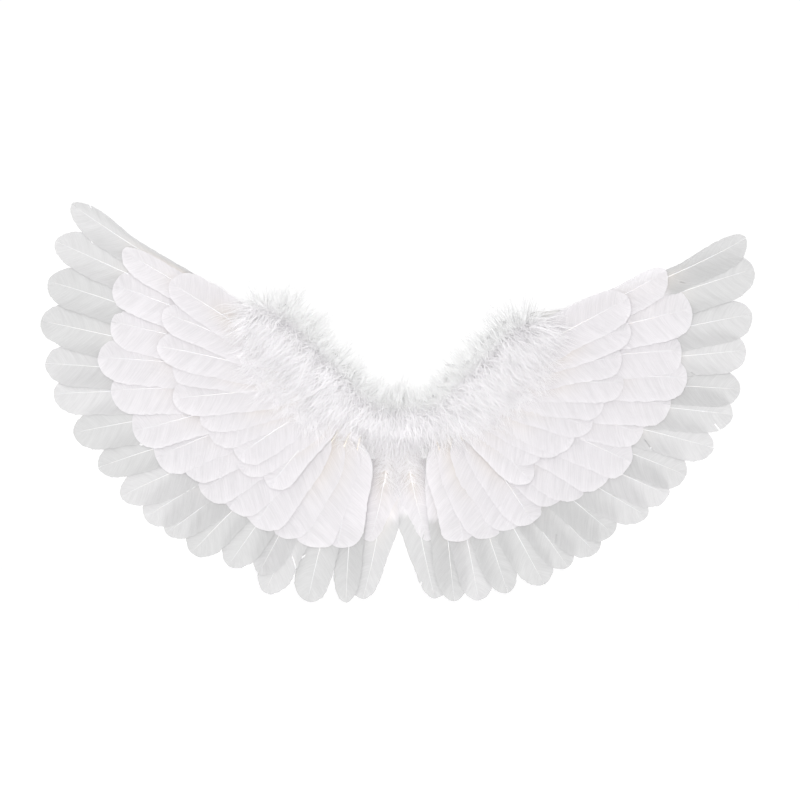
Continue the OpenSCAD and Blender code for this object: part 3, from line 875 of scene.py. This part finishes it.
def make_trim():
    """The marabou as two pieces, split at the middle of the neckline."""
    rng = np.random.default_rng(7)
    verts, thin, root_x = down_strands(rng, TUFTS, STRANDS)
    for side, sign in SIDES.items():
        mine = root_x * sign > 0
        bag = Bag()
        count, points = verts[mine].shape[:2]
        bag.add(verts[mine], ribbon_faces(count, points), 0, (0, 0), thin[mine])
        core, faces, core_thin = trim_core(rng, sign)
        bag.add(core, faces, 0, (0, 0), core_thin)
        piece = bag.piece(side + "_marabou_trim", [DOWN])
        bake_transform(piece)
        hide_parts(side + "_marabou", side + "_marabou_cord", "centre_marabou",
                    "centre_marabou_cord")


make_trim()


# ---- Felt, foam and tape, cut from sheet ----

def outlines(node, back):
    """The loops of points (x, z) around the node's flat back or front face."""
    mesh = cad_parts[node].data
    level = (max if back else min)(v.co.y for v in mesh.vertices)
    micron = 0.001 * MM
    key = {}
    for v in mesh.vertices:
        if abs(v.co.y - level) < 10 * micron:
            key[v.index] = (round(v.co.x / micron), round(v.co.z / micron))
    directed = set()
    for face in mesh.polygons:
        corners = list(face.vertices)
        if all(c in key for c in corners):
            ring = [key[c] for c in corners]
            directed.update(zip(ring, ring[1:] + ring[:1]))
    follow = {a: b for a, b in directed if (b, a) not in directed}
    loops = []
    while follow:
        start, point = follow.popitem()
        loop = [start]
        while point != start:
            loop.append(point)
            point = follow.pop(point)
        loops.append(np.array(loop) * micron)
    return loops


def shoelace(loop):
    """The area inside a loop."""
    x, z = loop.T
    return abs(np.dot(x, np.roll(z, -1)) - np.dot(z, np.roll(x, -1))) / 2


def inside(points, loops):
    """Which points lie inside the loops, by counting the edges to one side."""
    odd = np.zeros(len(points), bool)
    for loop in loops:
        for (x0, z0), (x1, z1) in zip(loop, np.roll(loop, -1, 0)):
            crosses = (z0 > points[:, 1]) != (z1 > points[:, 1])
            with np.errstate(divide="ignore", invalid="ignore"):
                where = x0 + (points[:, 1] - z0) * (x1 - x0) / (z1 - z0)
            odd ^= crosses & (points[:, 0] < where)
    return odd


def refine(loop, spacing):
    """The loop with its edges cut into equal steps."""
    points = []
    for a, b in zip(loop, np.roll(loop, -1, 0)):
        count = max(1, round(np.linalg.norm(b - a) / spacing))
        points += [a + (b - a) * i / count for i in range(count)]
    return np.array(points)


def waves(rng, xz, length, count=7):
    """Smooth random height, about -1 to 1, over points (x, z)."""
    total = np.zeros(len(xz))
    for _ in range(count):
        direction = rng.uniform(0, 2 * math.pi)
        k = 2 * math.pi / (length * rng.uniform(0.6, 1.8))
        total += np.sin(k * (xz @ [math.cos(direction), math.sin(direction)]) + rng.uniform(0, 7))
    return total / math.sqrt(count)


def cut_piece(name, node, body, material, seed, spacing=2 * MM, wave=0.10, edge=0.3):
    """The node's flat solid again as soft sheet: gently uneven faces and rounded, worn edges."""
    rng = np.random.default_rng(seed)
    lo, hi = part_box(node)
    loops = [refine(loop, spacing) for loop in outlines(node, True)]
    points, edges = [], []
    for loop in loops:
        first = len(points)
        points += loop.tolist()
        edges += [(first + i, first + (i + 1) % len(loop)) for i in range(len(loop))]
    rim = len(points)
    x, z = np.meshgrid(np.arange(lo.x, hi.x, spacing), np.arange(lo.z, hi.z, spacing))
    grid = np.stack([x.ravel(), z.ravel()], 1) + rng.uniform(-0.2, 0.2, (x.size, 2)) * spacing
    ring = np.array(points)
    near = np.min(np.linalg.norm(grid[:, None] - ring[None], axis=2), axis=1)
    grid = grid[inside(grid, loops) & (near > 0.55 * spacing)]
    flat = np.array(points + grid.tolist())
    result = geometry.delaunay_2d_cdt([Vector(q) for q in flat], edges, [], 0, 1e-7)
    flat = np.array([list(q) for q in result[0]])
    triangles = np.array(result[2])
    triangles = triangles[inside(flat[triangles].mean(1), loops)]
    on_rim = np.zeros(len(flat))
    on_rim[:rim] = 1
    thick = hi.y - lo.y
    uneven = wave * (0.5 + 0.5 * np.clip(waves(rng, flat, 14 * MM), -1, 1))
    back = hi.y - thick * (uneven + edge * on_rim)
    front = lo.y + thick * edge * on_rim
    verts = np.concatenate([np.stack([flat[:, 0], back, flat[:, 1]], 1),
                            np.stack([flat[:, 0], front, flat[:, 1]], 1)])
    count = len(flat)
    a, b, c = flat[triangles[:, 0]], flat[triangles[:, 1]], flat[triangles[:, 2]]
    turn = (b - a)[:, 0] * (c - a)[:, 1] - (b - a)[:, 1] * (c - a)[:, 0]
    triangles[turn > 0] = triangles[turn > 0][:, ::-1]
    directed = {(t[i], t[(i + 1) % 3]) for t in triangles.tolist() for i in range(3)}
    walls = [(j, i, i + count, j + count) for i, j in directed if (j, i) not in directed]
    faces = triangles.tolist() + (triangles[:, ::-1] + count).tolist() + walls
    piece = make_piece(name, verts, faces, [material])
    if body:
        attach(piece, body)
    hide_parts(node)
    return piece, sum(shoelace(loop) for loop in loops), (hi.x - lo.x, hi.z - lo.z)


# The hinge lies in the middle of the gap between two boards.
for index, side in enumerate(SIDES):
    felt, area, size = cut_piece(side + "_felt_cover", side + "_back_felt", side + "_wing",
                                 FELT, 20 + index)
    for row in ("outer", "middle", "inner"):
        cut_piece(f"{side}_{row}_foam", f"{side}_{row}_quill_strip", side + "_wing",
                  FOAM, 30 + index, spacing=1.5 * MM, wave=0.06, edge=0.15)
    tape, area, size = cut_piece(side + "_tape", side + "_hinge_tape", None, TAPE,
                                 40 + index, spacing=1 * MM, wave=0.15, edge=0.25)
    sign = SIDES[side]
    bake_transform(tape)
felt, area, size = cut_piece("centre_felt_cover", "centre_back_felt", "spine", FELT, 24)
cut_piece("centre_foam", "centre_quill_strip", "spine", FOAM, 25, spacing=1.2 * MM,
          wave=0.06, edge=0.15)


# ---- Pads and stitches ----

def pad_piece(name, body, centre, size, base, height, border, seed, replaced, corner=3 * MM):
    """A stitched patch of felt: a flat border and a middle that swells to the given height."""
    rng = np.random.default_rng(seed)
    nx, nz = (int(w / (0.5 * MM)) + 1 for w in size)
    u, w = np.meshgrid(np.linspace(-1, 1, nx), np.linspace(-1, 1, nz), indexing="ij")
    half = np.array(size) / 2
    x, z = u * half[0], w * half[1]
    over = np.stack([np.abs(x) - (half[0] - corner), np.abs(z) - (half[1] - corner)], -1)
    in_corner = (over > 0).all(-1)
    reach = np.linalg.norm(np.maximum(over, 0), axis=-1)
    pull = np.minimum(1, over.max(-1) / np.maximum(reach, 1e-9))
    x = np.where(in_corner, np.sign(x) * (half[0] - corner + over[..., 0] * pull), x)
    z = np.where(in_corner, np.sign(z) * (half[1] - corner + over[..., 1] * pull), z)
    inset = np.minimum(half[0] - np.abs(x), half[1] - np.abs(z))
    swell = ease(inset, border * 0.75, border * 0.75 + 2.2 * MM)
    stitch_pitch, pucker_reach = 3 * MM, 4 * MM
    puckers = 0.06 * np.sin(2 * math.pi * (x + z) / stitch_pitch)
    puckers = puckers * (1 - ease(inset, border, border + pucker_reach))
    rim = 1 - ease(inset, -0.1 * MM, 0.5 * MM)
    low = base + 0.5 * height * (1 - 0.6 * rim)
    xz = np.stack([x.ravel(), z.ravel()], 1)
    uneven = (0.05 * waves(rng, xz, 9 * MM)).reshape(x.shape)
    y = low + (0.5 * height - 0.06 * MM) * swell * (1 + puckers - np.abs(uneven))
    top = np.stack([x + centre[0], y, z + centre[1]], -1).reshape(-1, 3)
    bottom = np.stack([x + centre[0], np.full_like(y, base), z + centre[1]], -1).reshape(-1, 3)
    faces = grid_faces(nx, nz)
    count = nx * nz
    directed = {(f[i], f[(i + 1) % 4]) for f in faces.tolist() for i in range(4)}
    walls = [(j, i, i + count, j + count) for i, j in directed if (j, i) not in directed]
    all_faces = faces.tolist() + (faces[:, ::-1] + count).tolist() + walls
    piece = make_piece(name, np.concatenate([top, bottom]), all_faces, [FELT])
    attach(piece, body)
    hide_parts(replaced)
    return piece


def stitch_piece(name, node, body):
    """Each stitch again as a short arch of twisted thread."""
    bag = Bag()
    rings, sides = 9, 8
    t = np.linspace(-1, 1, rings)
    turn = np.linspace(0, 2 * math.pi, sides, endpoint=False)
    for points in islands(node):
        middle = (points.min(0) + points.max(0)) / 2
        along = np.linalg.svd(points - points.mean(0))[2][0]
        reach = np.abs((points - middle) @ along).max()
        across = unit(np.cross(along, FRONT))
        thick = 0.28 * MM
        radius = thick * np.sqrt(np.clip(1 - t ** 6, 0.05, 1))
        strand = radius[:, None] * (1 + 0.14 * np.cos(2 * turn + 5 * t[:, None]))
        arch = 0.10 * MM - 0.30 * MM * t ** 2
        verts = (middle + (t * reach * 0.97)[:, None, None] * along
                 + (strand * np.cos(turn))[..., None] * across
                 - (strand * np.sin(turn) * 0.8 + arch[:, None])[..., None] * FRONT)
        first = bag.count
        bag.add(verts, tube_faces(rings, sides), 0, (0, 0))
        bag.cap(first + np.arange(sides)[::-1], 0)
        bag.cap(first + (rings - 1) * sides + np.arange(sides), 0)
    piece = bag.piece(name, [THREAD])
    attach(piece, body)
    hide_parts(node)


lo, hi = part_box("centre_back_patch")
middle, size = ((lo.x + hi.x) / 2, (lo.z + hi.z) / 2), (hi.x - lo.x, hi.z - lo.z)
pad = pad_piece("centre_pad", "spine", middle, size, lo.y, hi.y - lo.y, 4 * MM, 50,
                "centre_back_patch")
stitch_piece("centre_stitching", "centre_patch_stitches", "spine")
for index, side in enumerate(SIDES):
    lo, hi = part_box(side + "_strap_patches")
    width = hi.x - lo.x
    for end, z in (("upper", hi.z - width / 2), ("lower", lo.z + width / 2)):
        patch = pad_piece(f"{side}_{end}_patch", side + "_wing", ((lo.x + hi.x) / 2, z),
                          (width, width), lo.y, hi.y - lo.y, 0, 52 + index,
                          side + "_strap_patches", 1.5 * MM)
    stitch_piece(side + "_stitching", side + "_patch_stitches", side + "_wing")


# ---- Elastic straps ----

# The heights where each band ends, under its patches.
BAND_TOP, BAND_BOTTOM = 20 * MM, -16 * MM


def strap_piece(side):
    """One band from its sewn upper end, round the arm loop, to its sewn lower end."""
    ends_lo, ends_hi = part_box(side + "_strap_ends")
    loop_lo, loop_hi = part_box(side + "_shoulder_strap")
    thick, width = ends_hi.y - ends_lo.y, ends_hi.x - ends_lo.x
    near, far = ends_lo.y + thick / 2, loop_hi.y - thick / 2
    bend = (far - near) / 2
    top, bottom = loop_hi.z - thick / 2 - bend, loop_lo.z + thick / 2 + bend
    arc = np.linspace(0, math.pi, 40)
    path = [(near, z) for z in np.linspace(BAND_TOP, top, 24)[:-1]]
    path += [(near + bend - bend * math.cos(a), top + bend * math.sin(a)) for a in arc]
    path += [(far, z) for z in np.linspace(top, bottom, 90)[1:-1]]
    path += [(near + bend + bend * math.cos(a), bottom - bend * math.sin(a)) for a in arc]
    path += [(near, z) for z in np.linspace(bottom, BAND_BOTTOM, 50)[1:]]
    path = np.array(path)
    tangent = np.gradient(path, axis=0)
    tangent /= np.linalg.norm(tangent, axis=1, keepdims=True)
    normal = np.stack([-tangent[:, 1], tangent[:, 0]], 1)
    s = np.concatenate([[0], np.cumsum(np.linalg.norm(np.diff(path, axis=0), axis=1))])
    across = np.linspace(-1, 1, 31)
    rib = 0.42 + 0.08 * np.cos(5 * math.pi * (across + 1))
    rib = rib * thick * np.sqrt(np.clip(1 - np.abs(across) ** 14, 0.15, 1))
    x = (ends_lo.x + ends_hi.x) / 2 + across * width / 2
    rings = []
    for face in (1, -1):
        order = slice(None, None, face)
        offset = face * rib[order]
        rings.append(np.stack([np.broadcast_to(x[order], (len(path), len(across))),
                               path[:, :1] + normal[:, :1] * offset,
                               path[:, 1:] + normal[:, 1:] * offset], -1))
    verts = np.concatenate(rings, 1)
    sides = verts.shape[1]
    faces = tube_faces(len(path), sides)[:, [0, 3, 2, 1]]
    round_band = np.concatenate([across, across[::-1]])
    uv = np.stack(np.broadcast_arrays(s[:, None] / MM, round_band * 6), 2)
    bag = Bag()
    bag.add(verts, faces, 0, uv)
    bag.cap(np.arange(sides), 0)
    bag.cap((len(path) - 1) * sides + np.arange(sides)[::-1], 0)
    band = bag.piece(side + "_elastic", [ELASTIC], "weave")
    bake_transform(band)
    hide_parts(side + "_strap_ends", side + "_shoulder_strap")


for side in SIDES:
    strap_piece(side)


# ---- CAD nodes whose shape is right ----

def finish_node(name, material):
    """Gives a CAD node that stays as it is its material."""
    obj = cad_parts[name]
    obj.data.materials.clear()
    obj.data.materials.append(material)


for side in SIDES:
    finish_node(side + "_wing_board", CARD)
    finish_node(side + "_frame_wire", WIRE)
    finish_node(side + "_wire_end_cap", CAP)
finish_node("centre_board", CARD)
